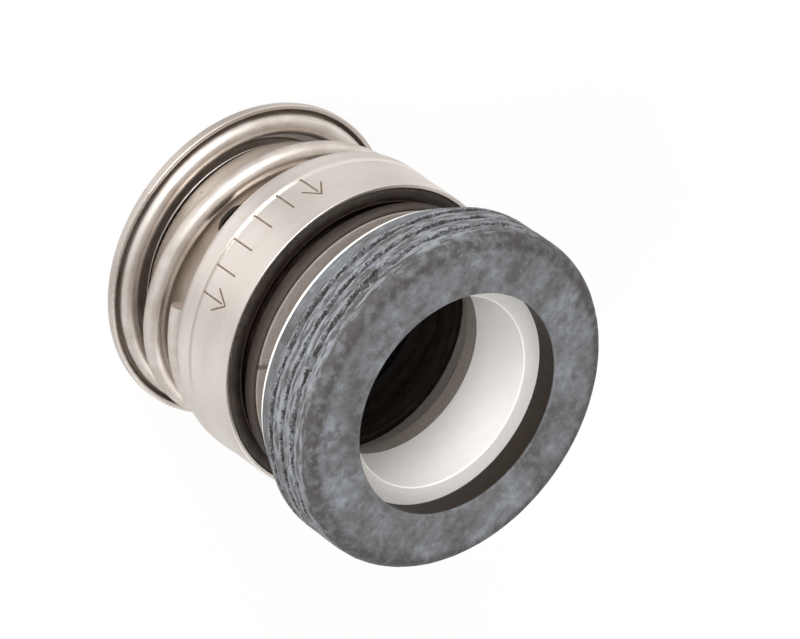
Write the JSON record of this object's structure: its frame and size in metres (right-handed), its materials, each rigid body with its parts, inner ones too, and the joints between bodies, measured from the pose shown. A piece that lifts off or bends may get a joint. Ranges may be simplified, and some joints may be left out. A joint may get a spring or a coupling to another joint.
{
  "type": "mechanical shaft seal",
  "caption": "Rubber-bellows rotary shaft seal: sprung steel-shelled head with a carbon ring, running against a white ceramic ring in a ribbed rubber seat cup.",
  "frame": {"origin": "centre of the back face of the spring holder, on the shaft axis", "axes": "+Z along the shaft from the spring holder to the front of the seat; -Y is the side that the picture shows, with the etched arrows"},
  "size_m": [0.0318, 0.0318, 0.0319],
  "materials": {
    "spring_steel": "satin",
    "holder_steel": "satin",
    "band_steel": "satin",
    "shell_steel": "satin",
    "bellows_rubber": "matt",
    "carbon": "lapped, satin",
    "ceramic": "satin",
    "cup_rubber": "matt"
  },
  "bodies": {
    "tail": {"spring_holder": "holder_steel", "spring": "spring_steel", "drive_band": "band_steel", "bellows": "bellows_rubber"},
    "head": {"shell": "shell_steel", "carbon_ring": "carbon"},
    "seat": {"ceramic_seat": "ceramic", "seat_cup": "cup_rubber"}
  },
  "joints": [
    {"name": "head_slide", "type": "slide", "parent": "tail", "child": "head", "axis": [0, 0, 1], "range_m": [-0.0023, 0], "stiffness_N_per_m": 3000, "deforming": ["spring", "bellows"]},
    {"name": "seat_spin", "type": "hinge", "parent": "head", "child": "seat", "pos_m": [0, 0, 0.02222], "axis": [0, 0, 1], "continuous": true}
  ]
}
